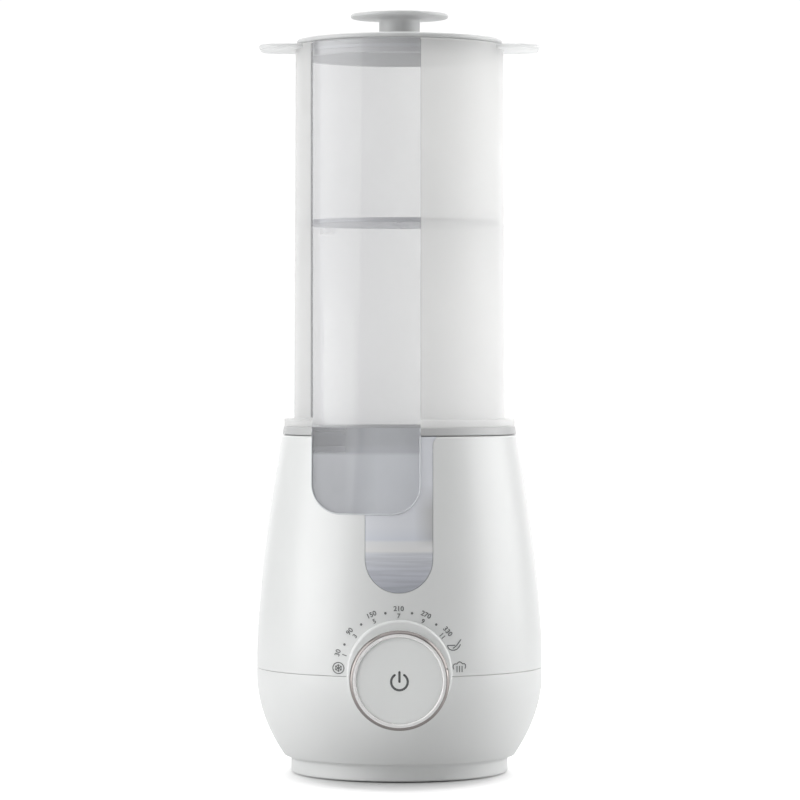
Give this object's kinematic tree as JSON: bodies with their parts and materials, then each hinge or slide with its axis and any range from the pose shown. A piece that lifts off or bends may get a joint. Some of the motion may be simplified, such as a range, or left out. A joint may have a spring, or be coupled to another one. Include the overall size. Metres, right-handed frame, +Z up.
{
  "type": "bottle warmer",
  "caption": "Egg-shaped steam bottle warmer: front dial with power button, tall frosted chamber with sight windows, tray, rack and lid with knob.",
  "frame": {"origin": "on the table, below the vertical axis that the base, the well, the chamber and the lid share", "axes": "+Z up along that axis, -Y towards the dial (front), +X to the right as seen from the front"},
  "size_m": [0.1328, 0.146, 0.3529],
  "materials": {
    "white_shell": "satin moulded",
    "trim_grey": "fine matt",
    "well_coating": "coated satin",
    "plate_steel": "spun",
    "element_steel": "drawn, heat tinted",
    "black_plastic": "fine matt",
    "sensor_brass": "turned",
    "fuse_ceramic": "unglazed",
    "clear_window": "polished clear",
    "tinted_window": "polished, faintly milky",
    "frame_plastic": "fine matt",
    "seal_silicone": "matt silicone",
    "scale_print": "pad printed",
    "board_green": "solder mask",
    "bracket_plastic": "moulded",
    "relay_blue": "moulded",
    "capacitor_sleeve": "shrink sleeve",
    "terminal_green": "moulded",
    "lead_sleeve": "silicone sleeve",
    "gland_rubber": "matt rubber",
    "foot_rubber": "matt rubber",
    "screw_steel": "zinc plated",
    "frosted_plastic": "frosted translucent",
    "lid_plastic": "fine matt",
    "tray_plastic": "fine matt",
    "rack_plastic": "fine matt",
    "dial_plastic": "satin",
    "dial_metal": "polished, warm tint"
  },
  "bodies": {
    "base": {"housing": "white_shell", "bottom_cover": "white_shell", "trim_ring": "trim_grey", "heating_well": "well_coating", "well_gasket": "seal_silicone", "heater_plate": "plate_steel", "heater_element": "element_steel", "thermostat": "black_plastic", "temperature_sensor": "sensor_brass", "thermal_fuse": "fuse_ceramic", "bottle_window": "clear_window", "level_window": "tinted_window", "well_window": "clear_window", "window_frame": "frame_plastic", "window_seal": "seal_silicone", "dial_collar": "white_shell", "dial_scale": "scale_print", "control_board": "board_green", "board_bracket": "bracket_plastic", "rotary_encoder": "black_plastic", "tact_switch": "black_plastic", "power_board": "board_green", "relay": "relay_blue", "supply_capacitor": "capacitor_sleeve", "terminal_block": "terminal_green", "heater_leads": "lead_sleeve", "cord_gland": "gland_rubber", "rubber_feet": "foot_rubber", "cover_screws": "screw_steel", "board_screws": "screw_steel"},
    "chamber": {"steam_chamber": "frosted_plastic", "chamber_window": "clear_window", "chamber_seal": "seal_silicone"},
    "lid": {"chamber_lid": "lid_plastic", "lid_knob": "lid_plastic", "lid_screw": "screw_steel", "lid_seal": "seal_silicone"},
    "tray": {"accessory_tray": "tray_plastic"},
    "rack": {"bottle_rack": "rack_plastic"},
    "dial": {"dial_body": "dial_plastic", "dial_ring": "dial_metal", "dial_pointer": "scale_print"},
    "button": {"power_button": "dial_plastic", "power_icon": "scale_print"}
  },
  "joints": [
    {"name": "chamber_lift", "type": "slide", "parent": "base", "child": "chamber", "axis": [0, 0, 1], "range_m": [0, 0.06]},
    {"name": "lid_lift", "type": "slide", "parent": "chamber", "child": "lid", "axis": [0, 0, 1], "range_m": [0, 0.06]},
    {"name": "tray_lift", "type": "slide", "parent": "chamber", "child": "tray", "axis": [0, 0, 1], "range_m": [0, 0.07]},
    {"name": "rack_lift", "type": "slide", "parent": "base", "child": "rack", "axis": [0, 0, 1], "range_m": [0, 0.13]},
    {"name": "dial_turn", "type": "hinge", "parent": "base", "child": "dial", "pos_m": [0, -0.07, 0.0485], "axis": [0, -1, 0], "range_deg": [0, 152]},
    {"name": "button_press", "type": "slide", "parent": "base", "child": "button", "axis": [0, 1, 0], "range_m": [0, 0.0012], "stiffness_N_per_m": 1200}
  ]
}
